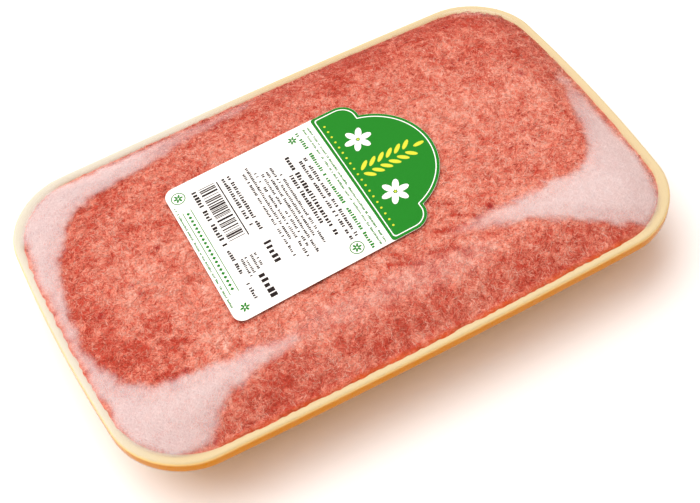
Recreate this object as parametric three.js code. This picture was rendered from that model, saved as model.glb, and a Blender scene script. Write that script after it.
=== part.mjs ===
// A retail meat tray pack: a foam tray heaped with fine mince, wrapped in clear stretch film,
// with a die-cut label on top. Millimetres, +Z up. The origin is the middle of the underside,
// and +X runs along the pack to the label's head.
import * as THREE from "three";

// The wrapped pack in plan: a rounded rectangle whose sides bulge a little
const PACK_LENGTH = 225;
const PACK_WIDTH = 141;
const CORNER_RADIUS = 25.4;
const END_BULGE = 3.7;
const SIDE_BULGE = 1.6;

// Stretch film: drawn up from the rim to a plateau over the mince, and tucked under the base
const RIM_HEIGHT = 28;
const FILM_GAUGE = 0.3;
const FILM_SLOPE = 0.4;
const FILM_RISE = 6.2;
const FILM_BEND = 3;
const FILM_START = 2.1;
const FILM_CROWN = 1.4;
const FILM_LIP_ROUND = 1;
const FILM_FOOT_ROUND = 1.9;
const TUCK_INSET = 50;

// Foam tray
const FIT_GAP = 0.3;
const FOOT_HEIGHT = FILM_GAUGE + FIT_GAP;
const FOAM = 4;
const BASE_INSET = 26;
const LIP_DEPTH = 4.8;
const LIP_INSET = FILM_GAUGE + FIT_GAP + 0.1;
const LIP_WIDTH = 2.6;
const LIP_ROUND = 1;
const NECK_INSET = 6;
const PANEL_INSET = 44;
const PANEL_RISE = 1.6;

// Mince
const MINCE_EDGE = 3.7;
const MINCE_RAGGED = 0.9;
const LUMP_DEPTH = 0.9;
const LUMP_WAVES = 16;
const LUMP_LENGTHS = [9, 22];
const MINCE_CELLS = [54, 34];
const SEED = 11;

// Label
const LABEL_LENGTH = 98.2;
const LABEL_WIDTH = 66.2;
const LABEL_FOOT_RADIUS = 4.1;
const LABEL_SHOULDER = 80.5;
const LABEL_SHOULDER_RADIUS = 7.3;
const LABEL_HEAD_HALF = 24.8;
const LABEL_GAUGE = 0.3;
const LABEL_CENTRE = new THREE.Vector2(-6.75, 4);
const LABEL_TURN = THREE.MathUtils.degToRad(2.6);
const LABEL_LEAN = 0.075;
const LABEL_RINGS = [1, 0.9, 0.7, 0.4];

const HALF_LENGTH = PACK_LENGTH / 2;
const HALF_WIDTH = PACK_WIDTH / 2;

const foam = new THREE.MeshStandardMaterial({ color: 0xf6dc9c, roughness: 0.6, metalness: 0 });
const meat = new THREE.MeshStandardMaterial({ color: 0xdc7560, roughness: 0.45, metalness: 0 });
const clear = new THREE.MeshStandardMaterial({
  color: 0xffffff,
  roughness: 0.1,
  metalness: 0,
  transparent: true,
  opacity: 0.2,
});
const paper = new THREE.MeshStandardMaterial({ color: 0xf7f7f5, roughness: 0.5, metalness: 0 });

// Random numbers from 0 to 1, the same in every run.
function seededDraw(seed) {
  let state = seed;
  return () => {
    state = (state * 1664525 + 1013904223) % 4294967296;
    return state / 4294967296;
  };
}

// The lesser of a and b, rounded off where they are within reach of each other.
function smoothMin(a, b, reach) {
  const near = Math.max(reach - Math.abs(a - b), 0) / reach;
  return Math.min(a, b) - (near * near * reach) / 4;
}

// A point of the unit square as a point of the pack's plan: the square's corners become quarter discs,
// and its sides bulge.
function planPoint(u, v) {
  const flatLength = HALF_LENGTH - END_BULGE;
  const flatWidth = HALF_WIDTH - SIDE_BULGE;
  const p = Math.max(Math.abs(u) * flatLength - flatLength + CORNER_RADIUS, 0) / CORNER_RADIUS;
  const q = Math.max(Math.abs(v) * flatWidth - flatWidth + CORNER_RADIUS, 0) / CORNER_RADIUS;
  const x = u * flatLength - Math.sign(u) * CORNER_RADIUS * p * (1 - Math.sqrt(1 - (q * q) / 2));
  const y = v * flatWidth - Math.sign(v) * CORNER_RADIUS * q * (1 - Math.sqrt(1 - (p * p) / 2));
  const bulgeX = (END_BULGE * x * (1 - (y / flatWidth) ** 2)) / flatLength;
  const bulgeY = (SIDE_BULGE * y * (1 - (x / flatLength) ** 2)) / flatWidth;
  return new THREE.Vector2(x + bulgeX, y + bulgeY);
}

// The plan drawn in by an inset at its sides, as a scaled copy, so that insets widen towards the corners.
function drawnIn(point, inset) {
  return new THREE.Vector2(
    point.x * (1 - inset / HALF_LENGTH),
    point.y * (1 - inset / HALF_WIDTH),
  );
}

// Distance inwards from the edge of the plan, with its corners rounded and its sides bulged.
function rimDistance(x, y) {
  const reachX = HALF_LENGTH - END_BULGE * (y / HALF_WIDTH) ** 2;
  const reachY = HALF_WIDTH - SIDE_BULGE * (x / HALF_LENGTH) ** 2;
  const p = Math.abs(x) - reachX + CORNER_RADIUS;
  const q = Math.abs(y) - reachY + CORNER_RADIUS;
  const outside = Math.hypot(Math.max(p, 0), Math.max(q, 0));
  return CORNER_RADIUS - outside - Math.min(Math.max(p, q), 0);
}

// Height of the film's outer face: a slope up from the rim that rounds off into a slightly crowned plateau.
function filmTop(x, y) {
  const slope = FILM_SLOPE * (rimDistance(x, y) - FILM_START);
  const crown = FILM_CROWN * (1 - (x / HALF_LENGTH) ** 2) * (1 - (y / HALF_WIDTH) ** 2);
  return RIM_HEIGHT + smoothMin(slope, FILM_RISE, FILM_BEND) + crown;
}

// Marks from -1 to 1 along one side of the unit square, closest together where the corner is round.
function sideMarks(halfSide, cornerSteps, middleSteps) {
  const straight = 1 - CORNER_RADIUS / halfSide;
  const marks = [];
  for (let i = 0; i < cornerSteps; i++) marks.push(-1 + ((1 - straight) * i) / cornerSteps);
  for (let i = 0; i < middleSteps; i++) marks.push(straight * ((2 * i) / middleSteps - 1));
  for (let i = 0; i <= cornerSteps; i++) marks.push(straight + ((1 - straight) * i) / cornerSteps);
  return marks;
}

// The outline of the plan, anticlockwise, from marks along a long and a short side of the unit square.
function outlineThrough(longMarks, shortMarks) {
  const points = [];
  longMarks.slice(0, -1).forEach((u) => points.push(planPoint(u, -1)));
  shortMarks.slice(0, -1).forEach((v) => points.push(planPoint(1, v)));
  longMarks.slice(0, -1).forEach((u) => points.push(planPoint(-u, 1)));
  shortMarks.slice(0, -1).forEach((v) => points.push(planPoint(-1, -v)));
  return points;
}

const packOutline = outlineThrough(sideMarks(HALF_LENGTH, 5, 6), sideMarks(HALF_WIDTH, 5, 4));

// One level ring of the pack: its outline drawn in by an inset.
function ring(inset, z) {
  return packOutline.map((point) => {
    const drawn = drawnIn(point, inset);
    return new THREE.Vector3(drawn.x, drawn.y, z);
  });
}

// A closed solid from rings of equal length, each anticlockwise from above, with a fan over the first
// and the last.
function loft(rings, firstCentre, lastCentre) {
  const count = rings[0].length;
  const vertices = [...rings.flat(), firstCentre, lastCentre];
  const first = rings.length * count;
  const lastRing = (rings.length - 1) * count;
  const index = [];
  for (let i = 0; i < count; i++) {
    const next = (i + 1) % count;
    for (let row = 0; row < lastRing; row += count) {
      index.push(row + i, row + next, row + count + next);
      index.push(row + i, row + count + next, row + count + i);
    }
    index.push(first, next, i);
    index.push(first + 1, lastRing + i, lastRing + next);
  }
  return new THREE.BufferGeometry().setFromPoints(vertices).setIndex(index);
}

// A profile of [inset, z] corners moved inwards by its own normals, for the inner face of a thin skin.
function thinned(profile, gauge) {
  return profile.map(([inset, z], i) => {
    const [fromInset, fromZ] = profile[Math.max(i - 1, 0)];
    const [toInset, toZ] = profile[Math.min(i + 1, profile.length - 1)];
    const length = Math.hypot(toInset - fromInset, toZ - fromZ);
    return [inset + (gauge * (toZ - fromZ)) / length, z - (gauge * (toInset - fromInset)) / length];
  });
}

// The foam tray: foot ring, sloped wall, overhanging lip, and the hollow that holds the mince.
function trayGeometry() {
  const lipTop = RIM_HEIGHT - FOOT_HEIGHT;
  const floor = FOOT_HEIGHT + FOAM;
  const lipFoot = lipTop - LIP_DEPTH;
  const profile = [
    [PANEL_INSET, FOOT_HEIGHT + PANEL_RISE],
    [PANEL_INSET - 3, FOOT_HEIGHT],
    [BASE_INSET + 2, FOOT_HEIGHT],
    [BASE_INSET, FOOT_HEIGHT + 0.6],
    [BASE_INSET - 1, FOOT_HEIGHT + 2.2],
    [NECK_INSET, lipFoot - 1.8],
    [NECK_INSET - 1.3, lipFoot - 0.6],
    [LIP_INSET + 0.9, lipFoot],
    [LIP_INSET, lipFoot + 0.8],
    [LIP_INSET, lipTop - LIP_ROUND],
    [LIP_INSET + 0.35 * LIP_ROUND, lipTop - 0.3 * LIP_ROUND],
    [LIP_INSET + LIP_ROUND, lipTop],
    [LIP_INSET + 0.75 * LIP_WIDTH, lipTop - 0.2],
    [LIP_INSET + LIP_WIDTH, lipTop - LIP_ROUND],
    [BASE_INSET - 1, floor + 3],
    [BASE_INSET + 1.2, floor + 0.9],
    [BASE_INSET + 5, floor],
  ];
  const rings = profile.map(([inset, z]) => ring(inset, z));
  return loft(rings, new THREE.Vector3(0, 0, profile[0][1]), new THREE.Vector3(0, 0, floor));
}

// The film: an outer face from under the base, round the lip and over the mince, and an inner face
// one gauge in.
function filmGeometry() {
  const skirt = [
    [TUCK_INSET, 0],
    [BASE_INSET + 1, 0],
    [BASE_INSET - 1, 0.25 * FILM_FOOT_ROUND],
    [BASE_INSET - 2.4, FILM_FOOT_ROUND],
    [1.2, RIM_HEIGHT - LIP_DEPTH - 1.6],
    [0, RIM_HEIGHT - LIP_DEPTH],
    [0, RIM_HEIGHT - FILM_LIP_ROUND],
    [0.35 * FILM_LIP_ROUND, RIM_HEIGHT - 0.3 * FILM_LIP_ROUND],
    [FILM_LIP_ROUND, RIM_HEIGHT],
    [FILM_START, RIM_HEIGHT],
  ];
  const domeInsets = [4.5, 8, 11.5, 15, 18.5, 22, 28, 40, 55];
  const domeRings = (drop) =>
    domeInsets.map((inset) =>
      ring(inset, 0).map(({ x, y }) => new THREE.Vector3(x, y, filmTop(x, y) - drop)),
    );
  const outer = [...skirt.map(([inset, z]) => ring(inset, z)), ...domeRings(0)];
  const inner = [
    ...thinned(skirt, FILM_GAUGE).map(([inset, z]) => ring(inset, z)),
    ...domeRings(FILM_GAUGE),
  ];
  const top = filmTop(0, 0);
  return loft(
    [...inner.reverse(), ...outer],
    new THREE.Vector3(0, 0, top - FILM_GAUGE),
    new THREE.Vector3(0, 0, top),
  );
}

// Lumps of the mince from 0 to 1: plane waves of seeded lengths and directions, added up.
function lumpField() {
  const draw = seededDraw(SEED);
  const [shortest, longest] = LUMP_LENGTHS;
  const waves = Array.from({ length: LUMP_WAVES }, () => {
    const angle = 2 * Math.PI * draw();
    const pitch = (2 * Math.PI) / (shortest + (longest - shortest) * draw());
    return [pitch * Math.cos(angle), pitch * Math.sin(angle), 2 * Math.PI * draw()];
  });
  return (x, y) => {
    const sum = waves.reduce((total, [kx, ky, phase]) => total + Math.sin(kx * x + ky * y + phase), 0);
    return THREE.MathUtils.clamp(0.5 + sum / LUMP_WAVES, 0, 1);
  };
}

// The mince: a lumpy top on a grid over the plan, and plain sides down the inside of the tray.
function minceGeometry() {
  const lumps = lumpField();
  const floor = FOOT_HEIGHT + FOAM + FIT_GAP;
  const [across, deep] = MINCE_CELLS;
  const row = across + 1;
  const plan = [];
  for (let j = 0; j <= deep; j++) {
    for (let i = 0; i <= across; i++) plan.push(planPoint((2 * i) / across - 1, (2 * j) / deep - 1));
  }
  const vertices = plan.map((point) => {
    const ragged = MINCE_RAGGED * lumps(point.x * 1.7, point.y * 1.7);
    const { x, y } = drawnIn(point, MINCE_EDGE + ragged);
    const under = FILM_GAUGE + FIT_GAP + 0.2 + LUMP_DEPTH * lumps(x, y);
    return new THREE.Vector3(x, y, filmTop(x, y) - under);
  });
  const index = [];
  for (let j = 0; j < deep; j++) {
    for (let i = 0; i < across; i++) {
      const a = j * row + i;
      index.push(a, a + 1, a + row + 1);
      index.push(a, a + row + 1, a + row);
    }
  }

  // The edge of the top in order, then rings down the wall to the floor of the tray
  const edge = [];
  for (let i = 0; i < across; i++) edge.push(i);
  for (let j = 0; j < deep; j++) edge.push(j * row + across);
  for (let i = across; i > 0; i--) edge.push(deep * row + i);
  for (let j = deep; j > 0; j--) edge.push(j * row);
  const wall = [
    [MINCE_EDGE + MINCE_RAGGED + 0.2, RIM_HEIGHT - 1.5],
    [BASE_INSET - 0.5, floor + 3.3],
    [BASE_INSET + 1.8, floor + 1.1],
    [BASE_INSET + 6, floor],
  ];
  let above = edge;
  wall.forEach(([inset, z]) => {
    const below = edge.map((k, i) => vertices.length + i);
    edge.forEach((k) => {
      const { x, y } = drawnIn(plan[k], inset);
      vertices.push(new THREE.Vector3(x, y, z));
    });
    above.forEach((a, i) => {
      const next = (i + 1) % edge.length;
      index.push(a, below[next], above[next]);
      index.push(a, below[i], below[next]);
    });
    above = below;
  });
  const centre = vertices.push(new THREE.Vector3(0, 0, floor)) - 1;
  above.forEach((a, i) => index.push(centre, above[(i + 1) % edge.length], a));
  return new THREE.BufferGeometry().setFromPoints(vertices).setIndex(index);
}

// The die-cut outline of the label: square foot, rounded shoulders and a round head.
function labelOutline() {
  const half = LABEL_WIDTH / 2;
  const headRise = LABEL_LENGTH - LABEL_SHOULDER;
  const headRadius = (LABEL_HEAD_HALF ** 2 + headRise ** 2) / (2 * headRise);
  const headMiddle = LABEL_LENGTH - headRadius;
  const headAngle = Math.asin(LABEL_HEAD_HALF / headRadius);
  const foot = LABEL_FOOT_RADIUS;
  const shoulder = LABEL_SHOULDER_RADIUS;
  const quarter = Math.PI / 2;
  return new THREE.Shape()
    .moveTo(foot, -half)
    .lineTo(LABEL_SHOULDER - shoulder, -half)
    .absarc(LABEL_SHOULDER - shoulder, shoulder - half, shoulder, -quarter, 0)
    .absarc(headMiddle, 0, headRadius, -headAngle, headAngle)
    .absarc(LABEL_SHOULDER - shoulder, half - shoulder, shoulder, 0, quarter)
    .absarc(foot, half - foot, foot, quarter, 2 * quarter)
    .absarc(foot, foot - half, foot, 2 * quarter, 3 * quarter);
}

// The label: its outline, leant a little, in rings about its middle, laid on the film one gauge thick.
function labelGeometry() {
  const outline = labelOutline()
    .getPoints(8)
    .filter((point, i, all) => point.distanceTo(all[(i + 1) % all.length]) > 0.01)
    .map(({ x, y }) => new THREE.Vector2(x - LABEL_LENGTH / 2 + LABEL_LEAN * y, y));
  const laid = (scale, lift) =>
    outline.map((point) => {
      const { x, y } = point
        .clone()
        .multiplyScalar(scale)
        .rotateAround(new THREE.Vector2(), LABEL_TURN)
        .add(LABEL_CENTRE);
      return new THREE.Vector3(x, y, filmTop(x, y) + lift);
    });
  const centre = (lift) => {
    const { x, y } = LABEL_CENTRE;
    return new THREE.Vector3(x, y, filmTop(x, y) + lift);
  };
  const under = LABEL_RINGS.map((scale) => laid(scale, FIT_GAP)).reverse();
  const over = LABEL_RINGS.map((scale) => laid(scale, FIT_GAP + LABEL_GAUGE));
  return loft([...under, ...over], centre(FIT_GAP), centre(FIT_GAP + LABEL_GAUGE));
}

function piece(name, geometry, material) {
  geometry.computeVertexNormals();
  const mesh = new THREE.Mesh(geometry, material);
  mesh.name = name;
  return mesh;
}

const pack = new THREE.Group();
pack.name = "meat_tray_pack";
pack.add(
  piece("tray", trayGeometry(), foam),
  piece("mince", minceGeometry(), meat),
  piece("film", filmGeometry(), clear),
  piece("label", labelGeometry(), paper),
);

export default pack;
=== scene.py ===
"""Looks of a meat tray pack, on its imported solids: foam tray, fine mince, clear film and a printed label."""

import math

import bpy
import numpy as np
from bpy.props import FloatProperty, FloatVectorProperty, IntProperty, PointerProperty
from mathutils import Matrix, Vector


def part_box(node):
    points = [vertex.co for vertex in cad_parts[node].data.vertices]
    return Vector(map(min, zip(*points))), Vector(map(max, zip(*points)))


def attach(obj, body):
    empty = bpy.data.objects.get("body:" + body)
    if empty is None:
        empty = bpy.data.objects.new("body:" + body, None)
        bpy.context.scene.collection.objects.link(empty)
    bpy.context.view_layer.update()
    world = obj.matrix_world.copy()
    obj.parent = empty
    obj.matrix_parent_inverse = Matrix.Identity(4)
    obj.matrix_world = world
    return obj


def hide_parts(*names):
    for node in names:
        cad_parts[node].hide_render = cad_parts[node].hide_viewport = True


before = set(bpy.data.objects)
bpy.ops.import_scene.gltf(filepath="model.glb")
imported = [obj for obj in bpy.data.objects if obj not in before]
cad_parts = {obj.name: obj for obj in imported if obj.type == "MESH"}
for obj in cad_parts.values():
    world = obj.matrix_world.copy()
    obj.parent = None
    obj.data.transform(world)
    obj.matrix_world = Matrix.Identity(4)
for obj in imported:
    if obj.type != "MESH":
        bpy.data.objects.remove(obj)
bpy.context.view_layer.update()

bl_info = {
    "name": "Meat Tray Pack",
    "version": (1, 0, 0),
    "blender": (4, 5, 0),
    "location": "View3D > Sidebar > Meat Pack",
    "description": "Builds an overwrapped tray of mince piece by piece",
    "category": "Add Mesh",
}

MM = 0.001
IMAGE_WIDTH = 700
SENSOR_WIDTH = 36.0
SHARP_ANGLE = math.radians(50)
TINY = 1e-12

# Added to the meat's seed for the film's painted sheen and haze, so that the meat and the film agree on where
# it lies.
SHEEN_SEED = 50

# Painted reflection of the lights on the film, laid on as a milky haze where the film lies off the meat.
# Outlines in plan, in millimetres.
HAZE_SHEEN_LEFT = (
    (20, 80), (-1.5, 64.5), (-11, 59.5), (-22, 57.5), (-33.5, 57), (-45, 53.5), (-61, 50.5), (-73.5, 50),
    (-80, 47), (-85.5, 46), (-90.5, 40.5), (-94.5, 35.5), (-98.5, 30), (-101.5, 24.5), (-103, 17), (-105, 7),
    (-106, -5), (-106, -15), (-101.5, -27.5), (-95, -36), (-91, -38.5), (-74, -41.5), (-58.5, -43),
    (-41.5, -43.5), (-41.5, -48.5), (-55.5, -49), (-67, -52), (-76, -56), (-81.5, -61), (-83.5, -65),
    (-90, -80), (-122, -80), (-122, 80),
)
HAZE_SHEEN_RIGHT = (
    (122, 22), (100, 10), (102, 3), (97.5, -5), (94.5, -14), (93, -21.5), (90.5, -27.5), (86, -32.5),
    (80.5, -35), (63, -35), (54.5, -36.5), (46, -35.5), (35, -35), (21, -35.5), (28, -37.5), (41, -41),
    (47, -42.5), (52.5, -44.5), (60.5, -48.5), (76, -57), (90.5, -66), (100, -80), (122, -80),
)
HAZE_SHEEN_STREAK = (
    (-50, -43.5), (-41.5, -43.5), (-32.5, -40), (-22.5, -39.5), (-14.5, -41.5), (-5, -40), (3.5, -40),
    (15, -41), (25.5, -43.5), (36.5, -44), (37.5, -49), (28, -51.5), (17, -52.5), (5.5, -52), (-5, -50),
    (-16.5, -49.5), (-26, -50), (-33.5, -47.5), (-41.5, -48.5), (-50, -49),
)

# Rows of small blocks on the label: place along, first and last place across, and height, in millimetres.
BLACK_ROWS = (
    (52.4, 18, -24, 1.5), (50.2, 17.5, -24, 1.5), (46.4, 22, -19, 2), (44.1, 13.5, -12, 1.7),
    (41.4, 17, -20, 1.2), (39.4, 21, -15, 1.2), (37.4, 21, -22, 1.2), (35.4, 20, -18, 1.2),
    (33.4, 22, -21.5, 1.2), (31.4, 26, -12, 1.2), (29.4, 24, -19, 1.2), (24, 26.5, -1.4, 1.6),
    (21.7, 26.5, 0.5, 1.6), (9.4, 27, -1, 2), (22.6, -7.8, -20.2, 3), (14.9, -19.1, -29.4, 3.2),
    (17.6, -9.8, -16.8, 1.1), (16, -9.8, -16.8, 1.1), (13.9, -9.7, -17.8, 1.1), (12.3, -9.7, -17.8, 1.1),
    (9.6, -3.8, -27, 1.5),
)
GREEN_ROWS = ((60.4, 30.4, -31.6, 0.9), (58.5, 30.4, -31.4, 0.9), (55.2, 30.3, -31, 1.6), (0.9, 24, -26, 0.8))

# Other print on the label: places along and across, in millimetres.
GREEN_BUDS = ((4.3, 27.5), (50.6, -28.2), (5.2, -28.2), (52.9, 28))
RINGED_BUDS = GREEN_BUDS[:2]
FLOWERS = ((74.5, -14.5), (74.5, 14.5))
SIXTHS = np.arange(6) * np.pi / 3
EDGE_STEPS = 400

# Gaps from the film to the paper, from the paper to the first ink and from that to the ink over it.
PAPER_LIFT = 0.05 * MM
INK_LIFT = 0.02 * MM
OVERPRINT_LIFT = 0.01 * MM

# Deeper red patches of the meat and single dark spots: place in plan and reach, in millimetres.
BLOTCHES = (
    (-80.5, -17.5, 4.5), (-77.5, -26.5, 6), (-89, -21, 4), (-96, -24.5, 4), (-86, -37, 4.5), (44.5, -32, 2),
)
SPOTS = (
    (-95.5, -1.5, 1.3), (-80, -1, 0.9), (-81, 3.5, 0.8), (-80, -38, 1.2), (-66.5, 14, 1), (-82.5, -64.5, 1),
    (90, 17.5, 1.3), (44.5, -32, 1),
)

# Cracks in the meat, dented and painted deeper as shade in them: both ends in plan and reach, in millimetres.
CRACKS = (
    (31.5, -28, 38.5, -34, 1), (21.5, -31, 29.5, -35, 1), (24, -40.5, 26.5, -46, 1.5),
    (2, -31, 7.5, -36.5, 1), (15.5, -38.5, 21.5, -40.5, 0.9), (0, -35.5, 11, -41.5, 0.8),
    (26.5, -20.5, 33, -23.5, 0.8),
)


def srgb(red, green, blue):
    """The linear colour of an 8-bit screen colour."""
    share = np.array([red, green, blue]) / 255
    return tuple(np.where(share <= 0.04045, share / 12.92, ((share + 0.055) / 1.055) ** 2.4).tolist())


def span(node):
    """A CAD node's size along X, Y and Z."""
    low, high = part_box(node)
    return [b - a for a, b in zip(low, high)]


def length(name, description, default):
    """A length property in metres."""
    return FloatProperty(name=name, description=description, default=default, unit="LENGTH", precision=5)


def number(name, description, default):
    """A plain number property."""
    return FloatProperty(name=name, description=description, default=default)


def degrees(name, description, default):
    """An angle property, given in degrees."""
    return FloatProperty(name=name, description=description, default=math.radians(default), unit="ROTATION")


def plan_place(name, description, default):
    """A place in plan, in metres."""
    return FloatVectorProperty(name=name, description=description, default=default, size=2, unit="LENGTH")


def colour(name, description, default):
    """A colour property."""
    return FloatVectorProperty(
        name=name, description=description, default=default, subtype="COLOR", size=3, min=0, max=1
    )


class PackSizes(bpy.types.PropertyGroup):
    """The pack's plan and the film's rise over it."""

    length: length("Length", "Length over the wrapped lip", span("film")[0])
    width: length("Width", "Width over the wrapped lip", span("film")[1])
    corner: length("Corner radius", "Radius of the corners in plan", 25.4 * MM)
    end_bulge: length("End bulge", "How far the short sides bulge", 3.7 * MM)
    side_bulge: length("Side bulge", "How far the long sides bulge", 1.6 * MM)
    rim: length("Rim height", "Height of the wrapped lip", 28 * MM)
    rise: length("Rise", "Height of the plateau over the lip", 6.2 * MM)
    bend: length("Bend", "How softly the slope turns into the plateau", 3 * MM)
    crown: length("Crown", "How far the middle stands over the plateau", 1.4 * MM)
    slope: number("Slope", "Steepness of the film by the lip", 0.4)
    start: length("Slope start", "Distance from the edge at which the film begins to rise", 2.1 * MM)


class TrayLook(bpy.types.PropertyGroup):
    """The foam tray."""

    cream: colour("Cream", "Foam on top of the lip", srgb(209, 192, 152))
    # Painted highlight: paler cream on the lip's top at the back left, where the key light falls.
    highlight_cream: colour("Highlight cream", "Foam on top of the lip at the back left", srgb(209, 204, 187))
    # Gold and ochre are painted shade of the lip's turn, strongest at the front.
    gold: colour("Gold", "Foam where the lip turns down", srgb(248, 218, 146))
    ochre: colour("Ochre", "Foam on the lip's outer face", srgb(216, 138, 0))
    wall: colour("Wall", "Foam of the walls and the base", srgb(220, 185, 129))
    shade_start: length("Shade start", "Depth below the lip's top at which cream turns to ochre", 0.25 * MM)
    shade_depth: length("Shade depth", "Height over which cream turns to ochre", 1.6 * MM)
    wall_start: length("Wall start", "Depth at which ochre turns to the wall's colour", 5.2 * MM)
    wall_depth: length("Wall depth", "Height over which ochre turns to the wall's colour", 9 * MM)


class MinceLook(bpy.types.PropertyGroup):
    """The mince under the film."""

    seed: IntProperty(name="Seed", description="Seed of the meat's strands and lumps", default=7)
    strands: IntProperty(name="Strands", description="Strands in each piece of strands", default=9800)
    strand_length: length("Strand length", "Length of a middling strand", 2.0 * MM)
    strand_radius: length("Strand radius", "Radius of a middling strand", 0.17 * MM)
    edge: length("Edge", "Least width of bare lip round the meat", 2.4 * MM)
    offset: plan_place("Offset", "How far the meat sits from the middle", (-0.8 * MM, -0.8 * MM))
    depth: length("Relief", "Depth of the deepest dents", 1.3 * MM)
    clearance: length("Clearance", "Distance from the film's outer face to the meat's core", 0.55 * MM)
    # Under the film's painted sheen and haze the meat lies lower by the air gap.
    air_gap: length("Air gap", "Further distance to the film where it looks milky", 1.2 * MM)
    pale: colour("Pale", "Fatty strands", srgb(242, 186, 169))
    pink: colour("Pink", "Most of the meat", srgb(233, 141, 118))
    # Deep is also the painted shade in the gaps between fibres.
    deep: colour("Deep", "Lean meat and gaps", srgb(190, 64, 46))
    blood: colour("Blood", "Small spots", srgb(172, 24, 26))
    juice: colour("Juice", "Wet edge by the lip", srgb(222, 92, 30))


class FilmLook(bpy.types.PropertyGroup):
    """The stretch film."""

    gauge: length("Gauge", "Thickness of the film", 0.1 * MM)
    # Cover of the film's painted reflection of the lights, laid on as a milky haze.
    sheen_cover: FloatProperty(
        name="Haze and sheen", description="Cover of one face where the film is off the meat", default=0.4,
        subtype="FACTOR", min=0, max=1,
    )
    # Colour of the painted reflection, laid on as milky haze.
    tint: colour("Tint", "Colour of the milky film", srgb(239, 230, 231))


class LabelLook(bpy.types.PropertyGroup):
    """The label and its print."""

    length: length("Length", "Length from the square foot to the round head", 98.2 * MM)
    width: length("Width", "Width of the label", 66.2 * MM)
    foot_radius: length("Foot radius", "Radius of the two corners at the foot", 4.1 * MM)
    shoulder: length("Shoulder", "Distance from the foot to the shoulders", 80.5 * MM)
    shoulder_radius: length("Shoulder radius", "Radius of the shoulders", 7.3 * MM)
    head_half: length("Half head", "Half the width of the round head at the shoulders", 24.8 * MM)
    header: length("Header", "Distance from the foot to the coloured header", 63 * MM)
    centre: plan_place("Centre", "Middle of the label in plan", (-6.75 * MM, 4 * MM))
    turn: degrees("Turn", "Turn of the label on the pack", 2.6)
    lean: number("Lean", "How far the label leans along for each step across", 0.075)
    gauge: length("Gauge", "Thickness of the paper", 0.2 * MM)
    ink: length("Ink", "Thickness of the print", 0.03 * MM)
    seed: IntProperty(name="Seed", description="Seed of the print's bars", default=23)
    paper: colour("Paper", "Bare paper", srgb(252, 252, 250))
    green: colour("Green", "Header and fine green print", srgb(27, 122, 32))
    lime: colour("Lime", "Sprig on the header", srgb(205, 209, 57))
    black: colour("Black", "Bars and lines", srgb(34, 29, 29))


class StageLook(bpy.types.PropertyGroup):
    """Camera, lights and floor."""

    focal: number("Focal length", "Focal length in pixels", 1451.47)
    azimuth: degrees("Azimuth", "Camera's turn about the pack", -25.2)
    elevation: degrees("Elevation", "Camera's height as an angle", 52.771)
    roll: degrees("Roll", "Camera's turn about its axis", -5.08)
    distance: length("Distance", "From the camera to its target", 519.277 * MM)
    target: plan_place("Target", "Point at the rim's height that it looks at", (-6.582 * MM, -19.159 * MM))
    floor: colour("Floor", "Plain pale floor", srgb(250, 250, 250))
    fill: colour("Fill", "Light from all round", (1.0, 0.69, 0.57))
    fill_strength: number("Fill strength", "Strength of the light from all round", 0.46)


class PackSettings(bpy.types.PropertyGroup):
    """All that a user would change."""

    sizes: PointerProperty(type=PackSizes)
    tray: PointerProperty(type=TrayLook)
    mince: PointerProperty(type=MinceLook)
    film: PointerProperty(type=FilmLook)
    label: PointerProperty(type=LabelLook)
    stage: PointerProperty(type=StageLook)


# Numbers on arrays


def smooth_step(low, high, value):
    """0 below low and 1 above high, with a cubic ease between."""
    t = np.clip((value - low) / (high - low), 0, 1)
    return t * t * (3 - 2 * t)


def smooth_min(a, b, reach):
    """The lesser of a and b, rounded off by a parabola where they are within reach of each other."""
    near = np.maximum(reach - np.abs(a - b), 0) / reach
    return np.minimum(a, b) - near * near * reach / 4


def cut_corners(points, rounds, closed=False):
    """Corner cutting: each round puts points a quarter and three quarters along every edge; ends stay."""
    for _ in range(rounds):
        after = np.roll(points, -1, axis=0) if closed else points[1:]
        before = points if closed else points[:-1]
        pairs = np.stack([0.75 * before + 0.25 * after, 0.25 * before + 0.75 * after], axis=1)
        cut = pairs.reshape(-1, points.shape[1])
        points = cut if closed else np.vstack([points[:1], cut[1:-1], points[-1:]])
    return points


def value_noise(x, y, cell, seed):
    """Seeded random values on a square lattice, from 0 to 1, blended between its corners by a cubic ease."""
    size = 64
    lattice = np.random.default_rng(seed).random((size, size))
    i, j = np.floor(x / cell).astype(int), np.floor(y / cell).astype(int)
    s, t = smooth_step(0, 1, x / cell - i), smooth_step(0, 1, y / cell - j)
    i, j, after_i, after_j = i % size, j % size, (i + 1) % size, (j + 1) % size
    near = lattice[i, j] * (1 - s) + lattice[after_i, j] * s
    far = lattice[i, after_j] * (1 - s) + lattice[after_i, after_j] * s
    return near + t * (far - near)


def line_distance(x, y, start, end):
    """Distance to a straight line between two points, which may be one place: to its nearest point."""
    ex, ey = end[0] - start[0], end[1] - start[1]
    along = np.clip(((x - start[0]) * ex + (y - start[1]) * ey) / max(ex * ex + ey * ey, TINY), 0, 1)
    return np.hypot(x - start[0] - along * ex, y - start[1] - along * ey)


def outline_distance(x, y, outline):
    """Signed distance to a closed outline, negative inside: least distance to edges, sign by crossings."""
    nearest = np.full(x.shape, np.inf)
    inside = np.zeros(x.shape, dtype=bool)
    for (ax, ay), (bx, by) in zip(outline, np.roll(outline, -1, axis=0)):
        nearest = np.minimum(nearest, line_distance(x, y, (ax, ay), (bx, by)))
        crosses = (ay > y) != (by > y)
        inside ^= crosses & (x < ax + (y - ay) * (bx - ax) / ((by - ay) or TINY))
    return np.where(inside, -nearest, nearest)


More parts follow.
